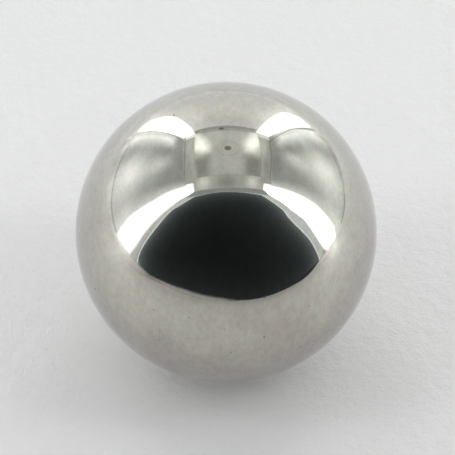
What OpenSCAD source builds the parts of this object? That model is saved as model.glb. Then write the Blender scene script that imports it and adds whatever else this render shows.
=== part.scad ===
// Polished steel ball, one solid piece that is ground and lapped to a true sphere.
// Millimetres, +Z up, with the origin at the centre of the ball.

/* [Ball] */
// Diameter of the ball, 1 1/16 inch
ball_d = 26.9875; // [3:0.0125:80]

/* [Hidden] */
// Bright bare steel, a little warm
steel_colour = [0.79, 0.78, 0.75];
// Segments around a full turn
$fn = 128;

// The whole ball: the same radius in every direction, with no flat, bore or seam
module steel_ball() {
    color(steel_colour)
        sphere(d = ball_d);
}

steel_ball();
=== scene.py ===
"""Looks of a polished steel ball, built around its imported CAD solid.

A mirror shows only what stands around it, so the white light tent that the ball lies in is built as carefully
as the ball. Sizes are in millimetres, and are turned to metres where a mesh is made.
"""

from __future__ import annotations

import logging
import math
import random
from collections.abc import Mapping, Sequence
from dataclasses import dataclass, field
from enum import Enum

import bpy
import numpy as np
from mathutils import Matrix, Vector

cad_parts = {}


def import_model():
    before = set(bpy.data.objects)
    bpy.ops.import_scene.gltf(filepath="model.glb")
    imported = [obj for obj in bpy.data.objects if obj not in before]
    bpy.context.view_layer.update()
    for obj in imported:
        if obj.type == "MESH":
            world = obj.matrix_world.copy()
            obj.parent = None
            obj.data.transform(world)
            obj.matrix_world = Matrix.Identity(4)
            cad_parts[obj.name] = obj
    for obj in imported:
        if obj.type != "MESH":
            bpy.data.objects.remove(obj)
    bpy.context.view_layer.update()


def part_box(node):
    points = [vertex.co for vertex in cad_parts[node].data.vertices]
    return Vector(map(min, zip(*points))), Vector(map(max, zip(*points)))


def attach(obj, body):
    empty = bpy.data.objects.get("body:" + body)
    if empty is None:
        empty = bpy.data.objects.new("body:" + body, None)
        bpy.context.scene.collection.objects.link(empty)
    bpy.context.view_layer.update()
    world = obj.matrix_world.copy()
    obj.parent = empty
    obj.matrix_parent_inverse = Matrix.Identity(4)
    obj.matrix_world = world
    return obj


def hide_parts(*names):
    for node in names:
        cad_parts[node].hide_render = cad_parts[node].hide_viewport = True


LOG = logging.getLogger("steel_ball")
MM = 0.001
TINY = 1e-6
BALL_NODE = "steel_ball"
ROOT_BODY = "root"
CUT_RADIUS = "cut_radius"
BACKDROP = "#E4E4E4"

Points = tuple[tuple[float, float], ...]
Tint = tuple[float, float, float]


def linear(hex_colour: str) -> tuple[float, float, float, float]:
    """Turns an sRGB hex colour to a linear colour.

    Args:
        hex_colour: colour as "#RRGGBB".

    Returns:
        Linear red, green, blue and an alpha of 1.
    """
    channels = [int(hex_colour[i : i + 2], 16) / 255 for i in (1, 3, 5)]
    made = [c / 12.92 if c <= 0.04045 else ((c + 0.055) / 1.055) ** 2.4 for c in channels]
    return made[0], made[1], made[2], 1.0


def add_node(
    tree: bpy.types.NodeTree,
    kind: str,
    inputs: Mapping[str | int, object] | None = None,
    **settings: object,
) -> bpy.types.Node:
    """Adds a node with its settings, values and links.

    Args:
        tree: node tree that gets the node.
        kind: Blender's identifier of the node type.
        inputs: input name or index to a value, or to the output socket that feeds it.
        settings: the node's own properties.

    Returns:
        The new node.
    """
    node = tree.nodes.new(kind)
    for name, value in settings.items():
        setattr(node, name, value)
    for key, value in (inputs or {}).items():
        socket = node.inputs[key]
        if isinstance(value, bpy.types.NodeSocket):
            tree.links.new(value, socket)
        else:
            socket.default_value = value
    return node


def new_material(name: str) -> tuple[bpy.types.Material, bpy.types.NodeTree]:
    """Makes an empty node material.

    Args:
        name: name of the material.

    Returns:
        The material and its cleared node tree.
    """
    material = bpy.data.materials.new(name)
    material.use_nodes = True
    material.node_tree.nodes.clear()
    return material, material.node_tree


def link_object(name: str, mesh: bpy.types.Mesh) -> bpy.types.Object:
    """Puts a mesh into the scene as an object at the origin.

    Args:
        name: name of the object.
        mesh: its mesh, already in place.

    Returns:
        The new object.
    """
    made = bpy.data.objects.new(name, mesh)
    bpy.context.scene.collection.objects.link(made)
    return made


@dataclass(frozen=True)
class PhotoCamera:
    """Camera at the photograph's viewing angle, with pixels counted in its 455 by 455 frame."""

    picture: float = 455.0
    ball_x: float = 226.1
    ball_y: float = 232.3
    ball_radius: float = 150.8
    elevation: float = 45.0
    distance: float = 297.0
    sensor: float = 36.0
    near: float = 10.0
    far: float = 10000.0

    def axes(self) -> tuple[Vector, Vector, Vector]:
        """Returns the directions to the right, upwards in the picture, and back to the camera."""
        angle = math.radians(self.elevation)
        back = Vector((0, -math.cos(angle), math.sin(angle)))
        upwards = Vector((0, math.sin(angle), math.cos(angle)))
        return Vector((1, 0, 0)), upwards, back

    def focal(self, radius: float) -> float:
        """Focal length in pixels that gives a ball of this radius its size in the picture."""
        return self.ball_radius * math.sqrt((self.distance / radius) ** 2 - 1)

    def point_on_ball(self, pixel: Sequence[float], radius: float) -> Vector:
        """Finds the point of the ball that a pixel of the picture shows.

        Args:
            pixel: x and y of the pixel.
            radius: the ball's radius.

        Returns:
            The point on the ball, from its centre.
        """
        right, upwards, back = self.axes()
        focal = self.focal(radius)
        aside = (pixel[0] - self.ball_x) / focal
        below = (pixel[1] - self.ball_y) / focal
        ray = right * aside - upwards * below - back
        ray.normalize()
        eye = back * self.distance
        along = ray.dot(eye)
        reach = -along - math.sqrt(max(along**2 - self.distance**2 + radius**2, 0.0))
        return eye + ray * reach

    def build(self, radius: float) -> bpy.types.Object:
        """Makes the scene's camera.

        Args:
            radius: the ball's radius.

        Returns:
            The camera.
        """
        _, _, back = self.axes()
        data = bpy.data.cameras.new("photo_camera")
        data.sensor_width = self.sensor
        data.lens = self.focal(radius) / self.picture * self.sensor
        data.shift_x = (self.picture / 2 - self.ball_x) / self.picture
        data.shift_y = (self.ball_y - self.picture / 2) / self.picture
        data.clip_start = self.near * MM
        data.clip_end = self.far * MM
        camera = bpy.data.objects.new("photo_camera", data)
        camera.location = back * (self.distance * MM)
        camera.rotation_euler = (-back).to_track_quat("-Z", "Y").to_euler()
        bpy.context.scene.collection.objects.link(camera)
        bpy.context.scene.camera = camera
        return camera


@dataclass(frozen=True)
class Mottle:
    """Patchy pattern of a surface, sized by its patches. A stretch below 1 draws it out along y and z."""

    patch: float
    detail: float = 4.0
    breakup: float = 0.7
    stretch: float = 1.0

    def draw(self, tree: bpy.types.NodeTree, place: bpy.types.NodeSocket) -> bpy.types.Node:
        """Adds the nodes that draw the pattern.

        Args:
            tree: the material's node tree.
            place: where the surface is shaded.

        Returns:
            The last node, with the pattern as Fac and Color.
        """
        drawn_out = {"Vector": place, "Scale": (1.0, self.stretch, self.stretch)}
        mapped = add_node(tree, "ShaderNodeMapping", drawn_out)
        return add_node(
            tree,
            "ShaderNodeTexNoise",
            {
                "Vector": mapped.outputs["Vector"],
                "Scale": 1 / (self.patch * MM),
                "Detail": self.detail,
                "Roughness": self.breakup,
            },
        )


@dataclass(frozen=True)
class LappedSteel:
    """Hardened chrome steel, ground and lapped bright, browner in patches with painted shade on its lower
    half, and rust in its pits.
    """

    name: str = "lapped_chrome_steel"
    colour: str = "#BFBEB5"
    low_stain_and_shade: str = "#A89F99"
    rust: str = "#968D83"
    edge_tint: str = "#F8F8FB"
    roughness: float = 0.035
    haze: float = 0.02
    low_stain_and_shade_mottle: Mottle = Mottle(5.0, detail=1.0, breakup=0.5)
    low_stain_and_shade_span: tuple[float, float] = (0.1, 0.9)
    painted_shade_top: float = 10.0
    painted_shade_bottom: float = -2.0
    painted_shade_least: float = 0.05
    painted_shade_lean: tuple[float, float, float] = (0.08, 0.0, 1.0)
    stain_mottle: Mottle = Mottle(0.7, breakup=0.75, stretch=0.6)
    stain_share: float = 0.09
    grain_mottle: Mottle = Mottle(0.6, breakup=0.8, stretch=0.6)
    grain_share: float = 0.27
    haze_mottle: Mottle = Mottle(0.7)
    haze_span: tuple[float, float] = (0.3, 0.7)
    rust_from: float = 0.004
    rust_full: float = 0.02
    rust_roughness: float = 0.7

    def material(self, radius: float) -> bpy.types.Material:
        """Makes the material, which keeps its pattern on Object coordinates.

        Args:
            radius: the ball's radius, below which a surface lies in a pit.

        Returns:
            The material.
        """
        # Lapping gives a mirror with a little blur: pale, slightly warm grey that shows every light round it.
        # The lower half is browner in patches and darker, painted shade for the dim floor it mirrors; faint
        # clouds of stain, rust in the pits.
        # Lapping grain is finer than a pixel, so it is drawn coarser, at about half a millimetre.
        material, tree = new_material(self.name)
        place = add_node(tree, "ShaderNodeTexCoord").outputs["Object"]
        # Browner patches of stain, which the painted shade below makes darker towards the bottom.
        low_stain_and_shade_noise = self.low_stain_and_shade_mottle.draw(tree, place)
        low_stain_and_shade_patches = add_node(
            tree,
            "ShaderNodeMapRange",
            {
                "Value": low_stain_and_shade_noise.outputs["Fac"],
                "From Min": self.low_stain_and_shade_span[0],
                "From Max": self.low_stain_and_shade_span[1],
            },
        )
        # Painted shade: the steel grows darker towards the bottom, tilted a little to one side by the lean.
        height = add_node(
            tree,
            "ShaderNodeVectorMath",
            {0: place, 1: self.painted_shade_lean},
            operation="DOT_PRODUCT",
        )
        painted_shade_by_height = add_node(
            tree,
            "ShaderNodeMapRange",
            {
                "Value": height.outputs["Value"],
                "From Min": self.painted_shade_top * MM,
                "From Max": self.painted_shade_bottom * MM,
                "To Min": self.painted_shade_least,
                "To Max": 1.0,
            },
        )
        low_stain_and_shade_here = add_node(
            tree,
            "ShaderNodeMath",
            {0: low_stain_and_shade_patches.outputs["Result"], 1: painted_shade_by_height.outputs["Result"]},
            operation="MULTIPLY",
        )
        low_stain_and_shaded = add_node(
            tree,
            "ShaderNodeMix",
            {"Factor": low_stain_and_shade_here.outputs["Value"], "A": linear(self.colour), "B": linear(self.low_stain_and_shade)},
            data_type="RGBA",
        )
        stain_noise = self.stain_mottle.draw(tree, place)
        stained = add_node(
            tree,
            "ShaderNodeMix",
            {
                "Factor": self.stain_share,
                "A": low_stain_and_shaded.outputs["Result"],
                "B": stain_noise.outputs["Color"],
            },
            data_type="RGBA",
            blend_type="OVERLAY",
        )
        grain_noise = self.grain_mottle.draw(tree, place)
        grained = add_node(
            tree,
            "ShaderNodeMix",
            {
                "Factor": self.grain_share,
                "A": stained.outputs["Result"],
                "B": grain_noise.outputs["Fac"],
            },
            data_type="RGBA",
            blend_type="OVERLAY",
        )
        depth = add_node(tree, "ShaderNodeVectorMath", {0: place}, operation="LENGTH")
        pit_share = add_node(
            tree,
            "ShaderNodeMapRange",
            {
                "Value": depth.outputs["Value"],
                "From Min": (radius - self.rust_from) * MM,
                "From Max": (radius - self.rust_full) * MM,
            },
        )
        colour = add_node(
            tree,
            "ShaderNodeMix",
            {
                "Factor": pit_share.outputs["Result"],
                "A": grained.outputs["Result"],
                "B": linear(self.rust),
            },
            data_type="RGBA",
        )
        haze_noise = self.haze_mottle.draw(tree, place)
        haze = add_node(
            tree,
            "ShaderNodeMapRange",
            {
                "Value": haze_noise.outputs["Fac"],
                "From Min": self.haze_span[0],
                "From Max": self.haze_span[1],
                "To Min": self.roughness - self.haze,
                "To Max": self.roughness + self.haze,
            },
        )
        rough = add_node(
            tree,
            "ShaderNodeMix",
            {
                "Factor": pit_share.outputs["Result"],
                "A": haze.outputs["Result"],
                "B": self.rust_roughness,
            },
        )
        shader = add_node(
            tree,
            "ShaderNodeBsdfPrincipled",
            {
                "Base Color": colour.outputs["Result"],
                "Metallic": 1.0,
                "Roughness": rough.outputs["Result"],
                "Specular Tint": linear(self.edge_tint),
            },
        )
        add_node(tree, "ShaderNodeOutputMaterial", {"Surface": shader.outputs["BSDF"]})
        return material


@dataclass(frozen=True)
class LampPool:
    """Oval pool of lamp light on the paper, sized where it has half its gain."""

    x: float
    y: float
    half_x: float
    half_y: float
    gain: float

    def light(self, tree: bpy.types.NodeTree, place: bpy.types.NodeSocket) -> bpy.types.NodeSocket:
        """Adds the nodes that make the pool.

        Args:
            tree: the paper's node tree.
            place: where the paper is shaded.

        Returns:
            The pool's light there.
        """
        middle = (self.x * MM, self.y * MM, 0.0)
        halves = (1 / (self.half_x * MM), 1 / (self.half_y * MM), 0.0)
        away = add_node(tree, "ShaderNodeVectorMath", {0: place, 1: middle}, operation="SUBTRACT")
        scaled = {0: away.outputs["Vector"], 1: halves}
        steps = add_node(tree, "ShaderNodeVectorMath", scaled, operation="MULTIPLY").outputs["Vector"]
        far = add_node(tree, "ShaderNodeVectorMath", {0: steps, 1: steps}, operation="DOT_PRODUCT")
        share = add_node(tree, "ShaderNodeMath", {0: 0.5, 1: far.outputs["Value"]}, operation="POWER")
        gained = {0: share.outputs["Value"], 1: self.gain}
        return add_node(tree, "ShaderNodeMath", gained, operation="MULTIPLY").outputs["Value"]


@dataclass(frozen=True)
class MattPaper:
    """Uncoated white paper, pressed and matt."""

    name: str = "uncoated_white_paper"
    colour: str = "#E1E1E1"
    roughness: float = 0.9
    gloss: float = 0.1
    fibre_mottle: Mottle = Mottle(1.2)
    fibre_height: float = 0.18
    spill: float = 0.14
    spill_from: float = 15.0
    spill_to: float = 335.0
    pools: tuple[LampPool, ...] = (
        LampPool(-120, -17, 58, 22, 0.43),
        LampPool(-195, -40, 50, 18, 0.38),
        LampPool(120, -13, 55, 19, 0.33),
        LampPool(-320, -60, 85, 45, 0.45),
        LampPool(190, -24, 62, 15, 1.1),
        LampPool(295, -65, 65, 40, 1.0),
        LampPool(0, 190, 190, 110, 0.07),
        LampPool(-92, 150, 45, 45, 0.14),
        LampPool(104, 150, 40, 40, 0.06),
    )

    def material(self) -> bpy.types.Material:
        """Makes the paper's material, with the side lamps' spill that only a mirror shows."""
        # Uncoated paper has no gloss: a flat pale grey that takes a soft shadow, with a faint tooth.
        # Single fibres are too fine to show, so the tooth is drawn as coarse as a millimetre.
        material, tree = new_material(self.name)
        place = add_node(tree, "ShaderNodeTexCoord").outputs["Object"]
        sideways = add_node(tree, "ShaderNodeSeparateXYZ", {"Vector": place}).outputs["X"]
        beside = add_node(tree, "ShaderNodeMath", {0: sideways}, operation="ABSOLUTE")
        reach = add_node(
            tree,
            "ShaderNodeMapRange",
            {
                "Value": beside.outputs["Value"],
                "From Min": self.spill_from * MM,
                "From Max": self.spill_to * MM,
                "To Max": self.spill**2,
            },
        )
        spill = add_node(tree, "ShaderNodeMath", {0: reach.outputs["Result"]}, operation="SQRT")
        for pool in self.pools:
            lit = {0: spill.outputs["Value"], 1: pool.light(tree, place)}
            spill = add_node(tree, "ShaderNodeMath", lit, operation="ADD")
        mirrored = add_node(tree, "ShaderNodeLightPath").outputs["Is Glossy Ray"]
        shown = add_node(
            tree,
            "ShaderNodeMath",
            {0: spill.outputs["Value"], 1: mirrored},
            operation="MULTIPLY",
        )
        fibre_noise = self.fibre_mottle.draw(tree, place)
        fibres = add_node(
            tree,
            "ShaderNodeBump",
            {
                "Height": fibre_noise.outputs["Fac"],
                "Distance": self.fibre_height * MM,
                "Strength": 1.0,
            },
        )
        shader = add_node(
            tree,
            "ShaderNodeBsdfPrincipled",
            {
                "Base Color": linear(self.colour),
                "Roughness": self.roughness,
                "Specular IOR Level": self.gloss,
                "Normal": fibres.outputs["Normal"],
                "Emission Color": linear(self.colour),
                "Emission Strength": shown.outputs["Value"],
            },
        )
        add_node(tree, "ShaderNodeOutputMaterial", {"Surface": shader.outputs["BSDF"]})
        material.cycles.emission_sampling = "NONE"
        return material


@dataclass(frozen=True)
class LitCloth:
    """White woven diffusion cloth, lit from outside, that glows as its radiance attribute says."""

    name: str = "lit_diffusion_cloth"
    attribute: str = "radiance"

    def material(self) -> bpy.types.Material:
        """Makes the cloth's material."""
        # White cloth lit from behind glows: even and pale, white near a lamp, its weave too far off to see.
        material, tree = new_material(self.name)
        level = add_node(tree, "ShaderNodeAttribute", attribute_name=self.attribute)
        shader = add_node(tree, "ShaderNodeEmission", {"Color": level.outputs["Color"], "Strength": 1.0})
        add_node(tree, "ShaderNodeOutputMaterial", {"Surface": shader.outputs["Emission"]})
        material.cycles.emission_sampling = "NONE"
        return material


@dataclass
class SteelBall:
    """The solid ball, with the small rust pits and the faint scratch of use on its surface."""

    radius: float
    steel: LappedSteel = field(default_factory=LappedSteel)
    cells: int = 96
    pit_pixels: tuple[tuple[float, float, float], ...] = (
        (95.0, 289.0, 0.13),
        (174.0, 115.0, 0.11),
        (221.0, 93.0, 0.07),
        (264.0, 337.0, 0.09),
        (224.0, 329.5, 0.07),
        (189.0, 317.5, 0.06),
        (159.0, 340.0, 0.06),
        (154.0, 310.0, 0.06),
        (231.0, 352.5, 0.06),
        (309.0, 306.0, 0.06),
        (265.0, 298.0, 0.07),
        (301.0, 347.0, 0.06),
    )
    scratch_pixels: Points = (
        (160.0, 327.0), (159.0, 333.0), (159.0, 340.0), (162.0, 345.0), (168.0, 349.0),
    )
    scratch_radius: float = 0.03
    scratch_depth: float = 0.008
    hidden_pits: int = 26
    hidden_rims: tuple[float, float] = (0.05, 0.1)
    pit_depth: float = 0.04
    cutter_steps: int = 3
    groove_sides: int = 12
    seed: int = 7

    def pits(self, camera: PhotoCamera) -> list[tuple[Vector, float]]:
        """Lists the pits as points on the surface with their rim radii.

        Args:
            camera: camera whose picture shows the pits of the front.

        Returns:
            Direction from the ball's centre and rim radius of each pit.
        """
        made = []
        for x, y, rim in self.pit_pixels:
            made.append((camera.point_on_ball((x, y), self.radius).normalized(), rim))
        back = camera.axes()[2]
        draw = random.Random(self.seed)
        hidden = 0
        while hidden < self.hidden_pits:
            aim = Vector((draw.gauss(0, 1), draw.gauss(0, 1), draw.gauss(0, 1))).normalized()
            rim = draw.uniform(*self.hidden_rims)
            if aim.dot(back) < 0.0:
                made.append((aim, rim))
                hidden += 1
        return made

    def form_tree(self, material: bpy.types.Material) -> bpy.types.NodeTree:
        """Builds the node tree that blows a cube up to an even sphere and cuts the marks out of it.

        Args:
            material: the steel.

        Returns:
            The tree, whose geometry input holds one point for each pit and edges along the scratch.
        """
        tree = bpy.data.node_groups.new("ball_form", "GeometryNodeTree")
        sockets = {"Marks": "Geometry", "Radius": "Float", "Groove": "Float", "Cells": "Int"}
        for name, kind in sockets.items():
            tree.interface.new_socket(name, in_out="INPUT", socket_type=f"NodeSocket{kind}")
        tree.interface.new_socket("Ball", in_out="OUTPUT", socket_type="NodeSocketGeometry")
        given = add_node(tree, "NodeGroupInput").outputs
        edge_points = add_node(tree, "ShaderNodeMath", {0: given["Cells"], 1: 1.0}, operation="ADD")
        grid = {f"Vertices {axis}": edge_points.outputs["Value"] for axis in "XYZ"}
        cube = add_node(tree, "GeometryNodeMeshCube", {"Size": (2, 2, 2), **grid})
        place = add_node(tree, "GeometryNodeInputPosition")
        angle = add_node(
            tree,
            "ShaderNodeVectorMath",
            {0: place.outputs["Position"], "Scale": math.pi / 4},
            operation="SCALE",
        )
        even = add_node(tree, "ShaderNodeVectorMath", {0: angle.outputs["Vector"]}, operation="TANGENT")
        aim = add_node(tree, "ShaderNodeVectorMath", {0: even.outputs["Vector"]}, operation="NORMALIZE")
        outward = add_node(
            tree,
            "ShaderNodeVectorMath",
            {0: aim.outputs["Vector"], "Scale": given["Radius"]},
            operation="SCALE",
        )
        round_ball = add_node(
            tree,
            "GeometryNodeSetPosition",
            {"Geometry": cube.outputs["Mesh"], "Position": outward.outputs["Vector"]},
        )
        cutter = add_node(
            tree,
            "GeometryNodeMeshIcoSphere",
            {"Radius": 1.0, "Subdivisions": self.cutter_steps},
        )
        cut_size = add_node(
            tree,
            "GeometryNodeInputNamedAttribute",
            {"Name": CUT_RADIUS},
            data_type="FLOAT",
        )
        is_pit = add_node(tree, "FunctionNodeCompare", {"A": cut_size.outputs["Attribute"], "B": 0.0})
        cutters = add_node(
            tree,
            "GeometryNodeInstanceOnPoints",
            {
                "Points": given["Marks"],
                "Selection": is_pit.outputs["Result"],
                "Instance": cutter.outputs["Mesh"],
                "Scale": cut_size.outputs["Attribute"],
            },
        )
        paths = add_node(tree, "GeometryNodeMeshToCurve", {"Mesh": given["Marks"]})
        groove = add_node(
            tree,
            "GeometryNodeCurvePrimitiveCircle",
            {"Resolution": self.groove_sides, "Radius": given["Groove"]},
        )
        tubes = add_node(
            tree,
            "GeometryNodeCurveToMesh",
            {
                "Curve": paths.outputs["Curve"],
                "Profile Curve": groove.outputs["Curve"],
                "Fill Caps": True,
            },
        )
        whole_cutters = add_node(
            tree,
            "GeometryNodeRealizeInstances",
            {"Geometry": cutters.outputs["Instances"]},
        )
        pitted = add_node(
            tree,
            "GeometryNodeMeshBoolean",
            {"Mesh 1": round_ball.outputs["Geometry"], "Mesh 2": whole_cutters.outputs["Geometry"]},
            operation="DIFFERENCE",
            solver="EXACT",
        )
        tree.links.new(tubes.outputs["Mesh"], pitted.inputs["Mesh 2"])
        smooth = add_node(
            tree,
            "GeometryNodeSetShadeSmooth",
            {"Geometry": pitted.outputs["Mesh"]},
            domain="FACE",
        )
        rims = add_node(
            tree,
            "GeometryNodeSetShadeSmooth",
            {
                "Geometry": smooth.outputs["Geometry"],
                "Selection": pitted.outputs["Intersecting Edges"],
                "Shade Smooth": False,
            },
            domain="EDGE",
        )
        whole = add_node(tree, "GeometryNodeRealizeInstances", {"Geometry": rims.outputs["Geometry"]})
        dressed = add_node(
            tree,
            "GeometryNodeSetMaterial",
            {"Geometry": whole.outputs["Geometry"], "Material": material},
        )
        add_node(tree, "NodeGroupOutput", {"Ball": dressed.outputs["Geometry"]})
        return tree

    def build(self, camera: PhotoCamera) -> bpy.types.Object:
        """Makes the ball, which stands for the CAD node.

        Args:
            camera: camera whose picture shows the pits of the front.

        Returns:
            The ball.
        """
        pits = self.pits(camera)
        cut_radii = [(rim**2 + self.pit_depth**2) / (2 * self.pit_depth) for _, rim in pits]
        pit_floor = self.radius - self.pit_depth
        centres = [aim * ((pit_floor + cut) * MM) for (aim, _), cut in zip(pits, cut_radii)]
        lifted = (self.radius + self.scratch_radius - self.scratch_depth) * MM
        for pixel in self.scratch_pixels:
            centres.append(camera.point_on_ball(pixel, self.radius).normalized() * lifted)
        edges = [(number, number + 1) for number in range(len(pits), len(centres) - 1)]
        cut_sizes = [cut * MM for cut in cut_radii] + [0.0] * len(self.scratch_pixels)
        mesh = bpy.data.meshes.new("ball_marks")
        mesh.from_pydata(centres, edges, [])
        mesh.attributes.new(CUT_RADIUS, "FLOAT", "POINT").data.foreach_set("value", cut_sizes)
        ball = link_object("polished_ball", mesh)
        tree = self.form_tree(self.steel.material(self.radius))
        form = ball.modifiers.new("ball_form", "NODES")
        form.node_group = tree
        sockets = tree.interface.items_tree
        given = {item.name: item.identifier for item in sockets if item.in_out == "INPUT"}
        form[given["Radius"]] = self.radius * MM
        form[given["Cells"]] = self.cells
        form[given["Groove"]] = self.scratch_radius * MM
        evaluated = ball.evaluated_get(bpy.context.evaluated_depsgraph_get())
        ball.data = bpy.data.meshes.new_from_object(evaluated)
        ball.modifiers.clear()
        ball.data.name = "polished_ball"
        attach(ball, ROOT_BODY)
        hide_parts(BALL_NODE)
        return ball


def soft_step(deep: np.ndarray, edge: float) -> np.ndarray:
    """Smooth step over an edge.

    Args:
        deep: distances inside the edge, below zero outside.
        edge: half width of the step.

    Returns:
        Shares from 0 outside to 1 inside.
    """
    ramp = np.clip(0.5 + deep / (2 * edge), 0, 1)
    return ramp * ramp * (3 - 2 * ramp)


def path_gap(path: Points, across: np.ndarray, up: np.ndarray) -> np.ndarray:
    """Distance of points from a path.

    Args:
        path: its points in order.
        across: places across the panel.
        up: places up the panel.

    Returns:
        Distances.
    """
    nearest = np.full(across.shape, np.inf)
    for (ax, ay), (bx, by) in zip(path[:-1], path[1:]):
        run_x, run_y = bx - ax, by - ay
        along = ((across - ax) * run_x + (up - ay) * run_y) / (run_x**2 + run_y**2)
        along = np.clip(along, 0, 1)
        nearest = np.minimum(nearest, np.hypot(across - ax - along * run_x, up - ay - along * run_y))
    return nearest


def in_outline(outline: Points, across: np.ndarray, up: np.ndarray) -> np.ndarray:
    """Tells which points lie in a closed outline.

    Args:
        outline: its corners in order.
        across: places across the panel.
        up: places up the panel.

    Returns:
        True inside.
    """
    made = np.zeros(across.shape, bool)
    for (ax, ay), (bx, by) in zip(outline, outline[1:] + outline[:1]):
        rise = by - ay if by != ay else TINY
        made ^= ((ay > up) != (by > up)) & (across < ax + (bx - ax) * (up - ay) / rise)
    return made


def from_middle(patch: Strip | Spot, across: np.ndarray, up: np.ndarray) -> tuple[np.ndarray, np.ndarray]:
    """Measures points from the middle of a leaning patch.

    Args:
        patch: the patch.
        across: places across the panel.
        up: places up the panel.

    Returns:
        Distances to the patch's side and along its height.
    """
    turn = math.radians(patch.lean)
    right, rise = across - patch.across, up - patch.up
    side = right * math.cos(turn) + rise * math.sin(turn)
    height = rise * math.cos(turn) - right * math.sin(turn)
    return side, height


class Side(Enum):
    """Panels of the light tent, as seen from inside."""

    LEFT = "left"
    RIGHT = "right"
    BACK = "back"
    ROOF = "roof"
    FRONT = "front"


@dataclass(frozen=True)
class Strip:
    """Straight band of light on a panel, or of shade where its gain is below zero."""

    across: float
    up: float
    half_across: float
    half_up: float
    gain: float
    lean: float = 0.0
    edge: float = 10.0

    def share(self, across: np.ndarray, up: np.ndarray) -> np.ndarray:
        """Share of the gain at points of the panel.

        Args:
            across: places across the panel.
            up: places up the panel.

        Returns:
            Shares from 0 to 1.
        """
        side, height = from_middle(self, across, up)
        past_side = np.abs(side) - self.half_across
        past_end = np.abs(height) - self.half_up
        outside = np.hypot(np.maximum(past_side, 0), np.maximum(past_end, 0))
        gap = outside + np.minimum(np.maximum(past_side, past_end), 0)
        return soft_step(-gap, self.edge)


@dataclass(frozen=True)
class Spot:
    """Soft oval pool of light on a panel, sized where it has half its gain, or of shade below zero."""

    across: float
    up: float
    half_across: float
    half_up: float
    gain: float
    lean: float = 0.0

    def share(self, across: np.ndarray, up: np.ndarray) -> np.ndarray:
        """Share of the gain at points of the panel, from 0 to 1."""
        side, height = from_middle(self, across, up)
        return 0.5 ** ((side / self.half_across) ** 2 + (height / self.half_up) ** 2)


@dataclass(frozen=True)
class Ring:
    """Thin round line on a panel."""

    across: float
    up: float
    radius: float
    half_width: float
    gain: float
    edge: float = 3.0

    def share(self, across: np.ndarray, up: np.ndarray) -> np.ndarray:
        """Share of the gain at points of the panel, from 0 to 1."""
        gap = np.abs(np.hypot(across - self.across, up - self.up) - self.radius) - self.half_width
        return soft_step(-gap, self.edge)


@dataclass(frozen=True)
class Pane:
    """Many-sided pane of thin cloth that a lamp stands behind."""

    outline: Points
    gain: float
    edge: float = 8.0

    def share(self, across: np.ndarray, up: np.ndarray) -> np.ndarray:
        """Share of the gain at points of the panel, from 0 to 1."""
        nearest = path_gap(self.outline + self.outline[:1], across, up)
        return soft_step(np.where(in_outline(self.outline, across, up), nearest, -nearest), self.edge)


@dataclass(frozen=True)
class Seam:
    """Sewn seam along a path, which lets less light through."""

    path: Points
    half_width: float
    depth: float
    edge: float = 4.0

    def pass_share(self, across: np.ndarray, up: np.ndarray) -> np.ndarray:
        """Share of the light that the seam lets through, from 0 to 1."""
        deep = self.half_width - path_gap(self.path, across, up)
        return 1 - self.depth * soft_step(deep, self.edge)


@dataclass(frozen=True)
class Doorway:
    """Dark opening in a panel, with bright piping round its frame and a little light inside its sides."""

    frame: Points
    sill: Points
    level: float = 0.008
    upper_level: float = 0.055
    upper_reach: float = 500.0
    rim_level: float = 0.26
    rim_fade: float = 60.0
    middle: float = 340.0
    half_width: float = 300.0
    middle_share: float = 0.33
    sill_level: float = 0.03
    sill_fade: float = 25.0
    edge: float = 3.0
    piping: float = 10.0
    piping_gain: float = 0.6

    def darken(
        self, radiance: np.ndarray, across: np.ndarray, up: np.ndarray
    ) -> tuple[np.ndarray, np.ndarray]:
        """Lays the opening and its piping over a panel's radiance.

        Args:
            radiance: what the panel has so far.
            across: places across the panel.
            up: places up the panel.

        Returns:
            The radiance with the opening in it, and the opening's share at each point.
        """
        from_frame = path_gap(self.frame, across, up)
        from_sill = path_gap((self.frame[-1],) + self.sill + (self.frame[0],), across, up)
        nearest = np.minimum(from_frame, from_sill)
        deep = np.where(in_outline(self.frame + self.sill, across, up), nearest, -nearest)
        piped = radiance * (1 + self.piping_gain * soft_step(self.piping - from_frame, self.edge))
        beside = np.minimum(((across - self.middle) / self.half_width) ** 2, 1)
        rim = self.rim_level * (self.middle_share + (1 - self.middle_share) * beside)
        room = self.level + self.upper_level * np.clip(up / self.upper_reach, 0, 1) ** 2
        room = room + rim * 0.5 ** (from_frame / self.rim_fade)
        room = room + self.sill_level * 0.5 ** (from_sill / self.sill_fade)
        share = soft_step(deep, self.edge)
        return piped + (room - piped) * share, share


@dataclass(frozen=True)
class Framed:
    """Patches that show only within a sewn-in middle piece of a panel."""

    frame: Strip
    patches: tuple[Strip | Spot | Pane, ...]
    gain: float = 1.0

    def share(self, across: np.ndarray, up: np.ndarray) -> np.ndarray:
        """Sum of the patches' light at points of the panel, zero outside the frame."""
        made = sum(patch.gain * patch.share(across, up) for patch in self.patches)
        return made * self.frame.share(across, up)


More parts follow.
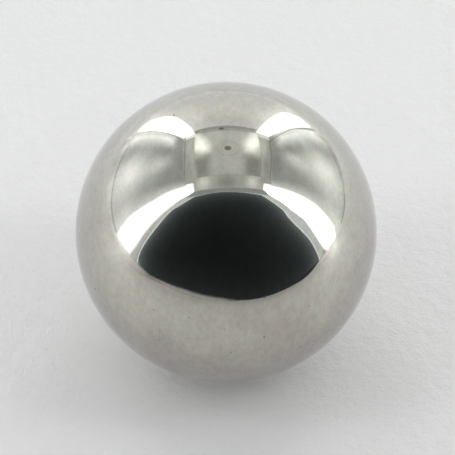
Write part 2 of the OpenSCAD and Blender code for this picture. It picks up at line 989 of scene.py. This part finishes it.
@dataclass(frozen=True)
class Panel:
    """One panel of the tent, with the light that falls through it and a foot with a tint of its own."""

    side: Side
    base: float
    patches: tuple[Strip | Spot | Ring | Pane | Framed, ...]
    seams: tuple[Seam, ...] = ()
    doorway: Doorway | None = None
    tint: Tint = (1.0, 1.0, 1.0)
    pane_tint: Tint = (1.005, 0.99, 1.005)
    room_tint: Tint = (0.84, 1.0, 1.08)
    foot: float = -20.0
    foot_edge: float = 6.0
    foot_tint: Tint = (1.01, 1.0, 0.97)
    cell: float = 2.5

    def radiance(self, across: np.ndarray, up: np.ndarray) -> np.ndarray:
        """Radiance at points of the panel.

        Args:
            across: places across the panel.
            up: places up the panel.

        Returns:
            Red, green and blue radiances, where 1 is a white that just fills the picture's range.
        """
        made = np.full(across.shape, self.base)
        lamp = np.full(across.shape, TINY)
        for patch in self.patches:
            gained = patch.gain * patch.share(across, up)
            made = made + gained
            if isinstance(patch, Pane):
                lamp = lamp + gained
        lamp_share = np.clip(lamp / np.maximum(made, TINY), 0, 1)
        for seam in self.seams:
            made = made * seam.pass_share(across, up)
        room_share = np.zeros(across.shape)
        if self.doorway is not None:
            made, room_share = self.doorway.darken(made, across, up)
        cloth, pane, room = np.array(self.tint), np.array(self.pane_tint), np.array(self.room_tint)
        foot_share = soft_step(self.foot - up, self.foot_edge)
        cloth = cloth + (np.array(self.foot_tint) - cloth) * foot_share[..., None]
        tint = cloth + (pane - cloth) * lamp_share[..., None]
        tint = tint + (room - tint) * room_share[..., None]
        return np.maximum(made, 0)[..., None] * tint


# Left wall, read from front to back: a lit pane, the glow of two lamps, and a bright far end.
LEFT_PANEL = Panel(
    Side.LEFT,
    0.57,
    (
        Pane(
            (
                (48, 10), (138, 16), (132, 108), (105, 275), (100, 391), (70, 675), (-16, 675),
                (14, 300), (33, 67),
            ),
            2.3,
            edge=12,
        ),
        Pane(((150, -10), (150, 14), (343, 50), (572, 78), (572, -10)), 0.12, edge=4),
        Strip(63, 351, 63, 432, 0.74, lean=7, edge=54),
        Spot(320, 360, 53, 96, 0.45, lean=-19),
        Spot(325, 149, 78, 88, 1.0),
        Spot(450, 235, 65, 70, 0.16),
        Spot(185, 100, 45, 60, 0.2),
        Spot(215, 470, 80, 110, -0.08),
        Spot(290, 620, 110, 70, -0.1),
        Spot(297, 5, 296, 92, 0.27, lean=-2),
        Strip(593, 284, 37, 210, 1.66, lean=4, edge=116),
        Strip(666, 351, 18, 405, 0.48, edge=18),
        Strip(459, 471, 120, 16, -0.13, lean=40, edge=41),
    ),
    (
        Seam(((150, 14), (190, 20), (343, 50), (572, 78)), 3, 0.5),
        Seam(((656, 50), (668, 150), (670, 247), (664, 366), (632, 640)), 5, 0.55),
        Seam(((60, 664), (130, 658), (240, 667)), 2.5, 0.4),
    ),
    tint=(0.985, 1.01, 1.03),
)

# Right wall, read from front to back: a lit pane, the glow of two lamps, and a bright far end.
RIGHT_PANEL = Panel(
    Side.RIGHT,
    0.53,
    (
        Pane(
            (
                (34, -8), (100, -8), (122, 40), (118, 200), (89, 432), (53, 675), (-41, 675),
                (0, 229), (0, 108), (14, 27),
            ),
            2.3,
            edge=12,
        ),
        Strip(59, 325, 70, 432, 0.7, lean=8, edge=54),
        Spot(340, 370, 54, 92, 0.56, lean=-19),
        Spot(334, 150, 93, 97, 0.97, lean=2),
        Spot(465, 235, 60, 65, 0.14),
        Spot(210, 80, 50, 60, 0.18),
        Spot(285, 610, 110, 80, -0.11),
        Spot(323, 6, 294, 94, 0.19, lean=-4),
        Strip(609, 291, 40, 206, 1.7, lean=7, edge=134),
        Strip(663, 351, 19, 405, 0.33, edge=17),
        Strip(485, 446, 120, 16, -0.13, lean=40, edge=40),
    ),
    (
        Seam(((175, 3), (253, 8), (452, 30), (565, 38)), 3, 0.45),
        Seam(((585, 664), (622, 518), (672, 310)), 5, 0.55),
    ),
    tint=(0.98, 1.015, 1.01),
)

# Back wall, read from left to right: a lit pane at each side, and a dimmer middle.
BACK_PANEL = Panel(
    Side.BACK,
    1.04,
    (
        Pane(
            (
                (23, 62), (70, 62), (92, 75), (123, 148), (140, 250), (130, 513), (107, 675),
                (-6, 675), (-6, 391), (12, 108),
            ),
            2.4,
        ),
        Pane(
            (
                (650, 58), (710, 58), (724, 85), (762, 560), (762, 675), (635, 675), (621, 530),
                (602, 189), (599, 140), (612, 100),
            ),
            2.4,
        ),
        Strip(51, 365, 78, 311, 0.6, edge=70),
        Strip(686, 350, 76, 305, 0.6, lean=-6, edge=66),
        Spot(200, 330, 40, 150, 0.2),
        Spot(572, 300, 45, 150, 0.2),
        Strip(366, 632, 257, 35, -0.47, edge=14),
        Spot(379, 502, 187, 106, -0.17),
        Spot(378, 120, 184, 114, -0.09),
        Spot(336, 668, 17, 18, -0.6),
        Spot(139, 640, 16, 18, -0.5),
    ),
    (
        Seam(((758, 350), (754, 261), (741, 141), (735, 54)), 5, 0.55),
        Seam(((148, 618), (200, 628), (340, 640), (500, 648), (600, 646)), 3, 0.2),
        Seam(((330, 645), (354, 646)), 5, 0.5),
    ),
)

# Roof, read from left to right and front to back: a sewn-in middle piece with a small round eyelet.
ROOF_PANEL = Panel(
    Side.ROOF,
    0.72,
    (
        Framed(
            Strip(376, 389, 267, 268, 1.0, edge=4),
            (
                Pane(
                    (
                        (100, 425), (175, 370), (225, 375), (230, 418), (209, 499), (130, 665),
                        (100, 665),
                    ),
                    1.0,
                    edge=50,
                ),
                Pane(
                    (
                        (650, 665), (650, 510), (595, 410), (576, 370), (522, 370), (516, 440),
                        (537, 499), (600, 665),
                    ),
                    1.0,
                    edge=50,
                ),
                Spot(180, 465, 75, 95, 0.3),
                Spot(590, 465, 90, 95, 0.4),
                Strip(162, 200, 64, 115, -0.29, edge=46),
                Strip(574, 200, 70, 112, -0.31, edge=46),
            ),
        ),
        Spot(377, 570, 170, 80, 0.1),
        Spot(66, 500, 40, 90, 0.16),
        Spot(672, 475, 40, 85, 0.2),
        Spot(670, 270, 34, 60, -0.1),
        Spot(377, 230, 100, 70, 0.05),
        Ring(377, 388, 40, 5, 0.08, edge=8),
        Ring(377, 384, 0, 26, -0.45, edge=7),
        Ring(378, 389, 83, 3, -0.16),
        Strip(377, 54, 270, 65, -0.06, edge=5),
        Spot(358, 49, 80, 60, -0.22),
        Spot(160, 66, 46, 48, 0.46),
        Spot(572, 54, 44, 46, 0.42),
        Strip(14, 22, 41, 53, 6.0, lean=-2, edge=20),
        Strip(738, 8, 53, 51, 6.0, lean=1, edge=14),
        Strip(16, 353, 49, 278, -0.1, lean=7, edge=40),
        Strip(739, 345, 48, 278, -0.18, lean=-9, edge=40),
        Strip(377, 655, 230, 13, -0.19, edge=9),
        Spot(340, 672, 17, 14, -0.5),
        Strip(65, 653, 46, 34, 0.9, edge=16),
        Strip(702, 645, 54, 40, 0.6, edge=16),
    ),
    (
        Seam(((18, 675), (23, 581), (20, 407), (10, 266), (0, 180)), 3.5, 0.5),
        Seam(((750, 600), (752, 397), (742, 248), (738, 115)), 3.5, 0.5),
        Seam(((107, 135), (223, 121), (366, 115), (502, 117), (644, 133)), 2, 0.25),
        Seam(((112, 650), (112, 425), (104, 257), (99, 137), (86, 32)), 2.5, 0.25),
        Seam(((643, 650), (640, 411), (641, 243), (647, 133), (656, 36)), 2.5, 0.25),
    ),
    tint=(0.975, 0.995, 0.955),
)

# Front, read from left to right: a lit pane in each upper corner, and the dark opening between.
FRONT_PANEL = Panel(
    Side.FRONT,
    0.92,
    (
        Strip(366, 605, 300, 108, -0.5, edge=14),
        Pane(((-10, 420), (8, 513), (41, 594), (44, 634), (36, 675), (-10, 675)), 6.0),
        Pane(
            (
                (765, 200), (760, 230), (711, 310), (701, 391), (664, 500), (666, 553), (704, 675),
                (765, 675),
            ),
            6.0,
        ),
        Strip(220, 0, 200, 26, -0.42, edge=6),
    ),
    tint=(0.96, 1.01, 1.03),
    foot=18,
    doorway=Doorway(
        frame=(
            (28, 5), (12, 28), (10, 60), (42, 195), (46, 280), (54, 335), (92, 385), (138, 488),
            (306, 522), (410, 509), (574, 480), (616, 284), (604, 225), (610, 180), (656, 90),
            (670, 11), (662, -3),
        ),
        sill=((377, -3), (340, 5), (275, 10), (210, 7), (150, 1), (100, 3)),
    ),
)


@dataclass
class LightTent:
    """Cube-shaped tent of white cloth, open at the front, that lights the ball from all sides."""

    floor: float
    cloth: LitCloth = field(default_factory=LitCloth)
    left: float = 352.0
    right: float = 403.0
    back: float = 536.0
    front: float = 135.0
    roof: float = 654.0
    turn: float = 2.5
    panels: tuple[Panel, ...] = (LEFT_PANEL, RIGHT_PANEL, BACK_PANEL, ROOF_PANEL, FRONT_PANEL)

    def frame(self, side: Side) -> tuple[Vector, Vector, Vector]:
        """Corner of a panel, and its edges across and up.

        Args:
            side: which panel.

        Returns:
            The corner at the panel's start, its whole edge across and its whole edge up.
        """
        deep = self.front + self.back
        wide = self.left + self.right
        tall = self.roof - self.floor
        low_left = Vector((-self.left, -self.front, self.floor))
        frames = {
            Side.LEFT: (low_left, Vector((0, deep, 0)), Vector((0, 0, tall))),
            Side.RIGHT: (low_left + Vector((wide, 0, 0)), Vector((0, deep, 0)), Vector((0, 0, tall))),
            Side.BACK: (low_left + Vector((0, deep, 0)), Vector((wide, 0, 0)), Vector((0, 0, tall))),
            Side.ROOF: (low_left + Vector((0, 0, tall)), Vector((wide, 0, 0)), Vector((0, deep, 0))),
            Side.FRONT: (low_left, Vector((wide, 0, 0)), Vector((0, 0, tall))),
        }
        return frames[side]

    def grid_mesh(self, name: str, points: np.ndarray) -> bpy.types.Mesh:
        """Makes a mesh of a grid of points, turned as the tent is.

        Args:
            name: name of the mesh.
            points: rows and columns of points in millimetres, in the tent's own frame.

        Returns:
            The mesh, in metres.
        """
        angle = math.radians(self.turn)
        turned = points.copy()
        turned[..., 0] = points[..., 0] * math.cos(angle) - points[..., 1] * math.sin(angle)
        turned[..., 1] = points[..., 0] * math.sin(angle) + points[..., 1] * math.cos(angle)
        rows, columns = points.shape[:2]
        number = np.arange(rows * columns).reshape(rows, columns)
        corners = [number[:-1, :-1], number[:-1, 1:], number[1:, 1:], number[1:, :-1]]
        faces = np.stack(corners, -1).reshape(-1, 4)
        mesh = bpy.data.meshes.new(name)
        mesh.from_pydata((turned * MM).reshape(-1, 3).tolist(), [], faces.tolist())
        return mesh

    def panel_mesh(self, panel: Panel) -> bpy.types.Mesh:
        """Makes a panel's grid, with its radiance at each point.

        Args:
            panel: the panel.

        Returns:
            The mesh, in metres and turned as the tent is.
        """
        corner, across_edge, up_edge = self.frame(panel.side)
        columns = math.ceil(across_edge.length / panel.cell)
        rows = math.ceil(up_edge.length / panel.cell)
        across, up = np.meshgrid(np.linspace(0, 1, columns + 1), np.linspace(0, 1, rows + 1))
        start, run, climb = np.array(corner), np.array(across_edge), np.array(up_edge)
        points = start + across[..., None] * run + up[..., None] * climb
        mesh = self.grid_mesh(f"tent_{panel.side.value}", points)
        light = panel.radiance(across * across_edge.length, up * up_edge.length)
        colours = np.concatenate([light, np.ones(light.shape[:2] + (1,))], -1)
        layer = mesh.attributes.new(self.cloth.attribute, "FLOAT_COLOR", "POINT")
        layer.data.foreach_set("color", colours.ravel())
        return mesh

    def build(self) -> list[bpy.types.Object]:
        """Makes the panels, which light and are mirrored but aren't seen by the camera."""
        material = self.cloth.material()
        made = []
        for panel in self.panels:
            mesh = self.panel_mesh(panel)
            mesh.materials.append(material)
            cloth = link_object(f"tent_{panel.side.value}", mesh)
            cloth.visible_camera = False
            made.append(cloth)
        return made


@dataclass
class PaperFloor:
    """Large plain sheet of paper that the ball lies on."""

    height: float
    paper: MattPaper = field(default_factory=MattPaper)
    half_width: float = 1500.0

    def build(self) -> bpy.types.Object:
        """Makes the sheet."""
        reach = self.half_width * MM
        level = self.height * MM
        corners = [(x * reach, y * reach, level) for x, y in ((-1, -1), (1, -1), (1, 1), (-1, 1))]
        mesh = bpy.data.meshes.new("paper_floor")
        mesh.from_pydata(corners, [], [(0, 1, 2, 3)])
        mesh.materials.append(self.paper.material())
        sheet = link_object("paper_floor", mesh)
        return sheet


@dataclass
class FloorEdge:
    """Front edge of the paper, dim towards the opening and dark beyond it, which only the mirror shows."""

    tent: LightTent
    attribute: str = "shade"
    level: float = 0.05
    lift: float = 0.2
    cell: float = 4.0
    reach: tuple[float, float] = (-24.0, 160.0)
    edge: float = 3.0
    dim_fade: float = 22.0
    paper_end: Points = (
        (350, -24), (375, 6), (397, 18), (447, 29), (465, 43), (496, 42), (643, 14), (660, -24),
    )
    dim_from: Points = (
        (60, 8), (150, 10), (190, 25), (215, 60), (255, 64), (290, 50), (330, 24), (400, 38),
        (465, 46), (550, 33), (640, 22),
    )
    dim_share: Points = (
        (60, 0.35), (130, 0.5), (170, 0.6), (205, 0.5), (235, 0.22), (350, 0.2), (380, 0.27),
        (405, 0.36), (440, 0.36), (480, 0.29), (600, 0.29), (635, 0.42),
    )

    def material(self) -> bpy.types.Material:
        """Makes a clear layer that is as dark as its shade attribute says."""
        # No lamp reaches the ground beyond the paper, so a mirror shows it almost black.
        material, tree = new_material("unlit_bare_floor")
        shade = add_node(tree, "ShaderNodeAttribute", attribute_name=self.attribute).outputs["Fac"]
        clear = add_node(tree, "ShaderNodeBsdfTransparent").outputs["BSDF"]
        dark = add_node(tree, "ShaderNodeEmission", {"Strength": self.level}).outputs["Emission"]
        layer = add_node(tree, "ShaderNodeMixShader", {"Fac": shade, 1: clear, 2: dark})
        add_node(tree, "ShaderNodeOutputMaterial", {"Surface": layer.outputs["Shader"]})
        material.cycles.emission_sampling = "NONE"
        return material

    def build(self) -> bpy.types.Object:
        """Makes the layer just above the sheet."""
        wide = self.tent.left + self.tent.right
        low, high = self.reach
        columns = math.ceil(wide / self.cell)
        rows = math.ceil((high - low) / self.cell)
        across, up = np.meshgrid(np.linspace(0, wide, columns + 1), np.linspace(low, high, rows + 1))
        end = np.interp(across, *zip(*self.paper_end))
        beyond = np.maximum(up - np.interp(across, *zip(*self.dim_from)), 0)
        dim = np.interp(across, *zip(*self.dim_share)) * 0.5 ** (beyond / self.dim_fade)
        shade = np.maximum(dim, soft_step(end - up, self.edge))
        level = np.full(across.shape, self.tent.floor + self.lift)
        points = np.stack([across - self.tent.left, up - self.tent.front, level], -1)
        mesh = self.tent.grid_mesh("floor_edge", points)
        mesh.attributes.new(self.attribute, "FLOAT", "POINT").data.foreach_set("value", shade.ravel())
        mesh.materials.append(self.material())
        layer = link_object("floor_edge", mesh)
        layer.visible_camera = False
        layer.visible_diffuse = False
        layer.visible_shadow = False
        return layer


@dataclass
class RoomFill:
    """Weak fill light from the room through the tent's opening, left out of the mirror."""

    tent: LightTent
    level: float = 0.56
    gap: float = 3.0
    low: tuple[float, float] = (40.0, 10.0)
    high: tuple[float, float] = (640.0, 500.0)

    def build(self) -> bpy.types.Object:
        """Makes the fill as a pane just inside the opening."""
        across, up = np.meshgrid((self.low[0], self.high[0]), (self.low[1], self.high[1]))
        deep = np.full(across.shape, self.gap - self.tent.front)
        points = np.stack([across - self.tent.left, deep, up + self.tent.floor], -1)
        mesh = self.tent.grid_mesh("room_fill", points)
        # Daylight in a room is even and weak: it lifts the near shadow and shows no shape of its own.
        material, tree = new_material("soft_room_light")
        shader = add_node(tree, "ShaderNodeEmission", {"Strength": self.level})
        add_node(tree, "ShaderNodeOutputMaterial", {"Surface": shader.outputs["Emission"]})
        mesh.materials.append(material)
        fill = link_object("room_fill", mesh)
        fill.visible_camera = False
        fill.visible_glossy = False
        fill.visible_shadow = False
        return fill


def set_up_view(backdrop: str) -> None:
    """Sets the plain view transform and a pale world.

    Args:
        backdrop: colour of the world beyond the floor.
    """
    scene = bpy.context.scene
    scene.view_settings.view_transform = "Standard"
    world = bpy.data.worlds.new("pale_world")
    world.use_nodes = True
    world.node_tree.nodes.clear()
    tone = add_node(world.node_tree, "ShaderNodeBackground", {"Color": linear(backdrop), "Strength": 1.0})
    add_node(world.node_tree, "ShaderNodeOutputWorld", {"Surface": tone.outputs["Background"]})
    scene.world = world


def main() -> None:
    """Builds the camera, the ball, its floor and its tent in order."""
    logging.basicConfig(level=logging.INFO, format="%(message)s")
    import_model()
    set_up_view(BACKDROP)
    low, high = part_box(BALL_NODE)
    radius = (high.z - low.z) / 2 / MM
    camera = PhotoCamera()
    camera.build(radius)
    ball = SteelBall(radius).build(camera)
    LOG.info("%s: %d faces, radius %.3f mm", ball.name, len(ball.data.polygons), radius)
    sheet = PaperFloor(-radius).build()
    LOG.info("%s: stage", sheet.name)
    tent = LightTent(-radius)
    for cloth in tent.build():
        LOG.info("%s: stage, %d faces", cloth.name, len(cloth.data.polygons))
    for extra in (FloorEdge(tent).build(), RoomFill(tent).build()):
        LOG.info("%s: stage", extra.name)


if __name__ == "__main__":
    main()
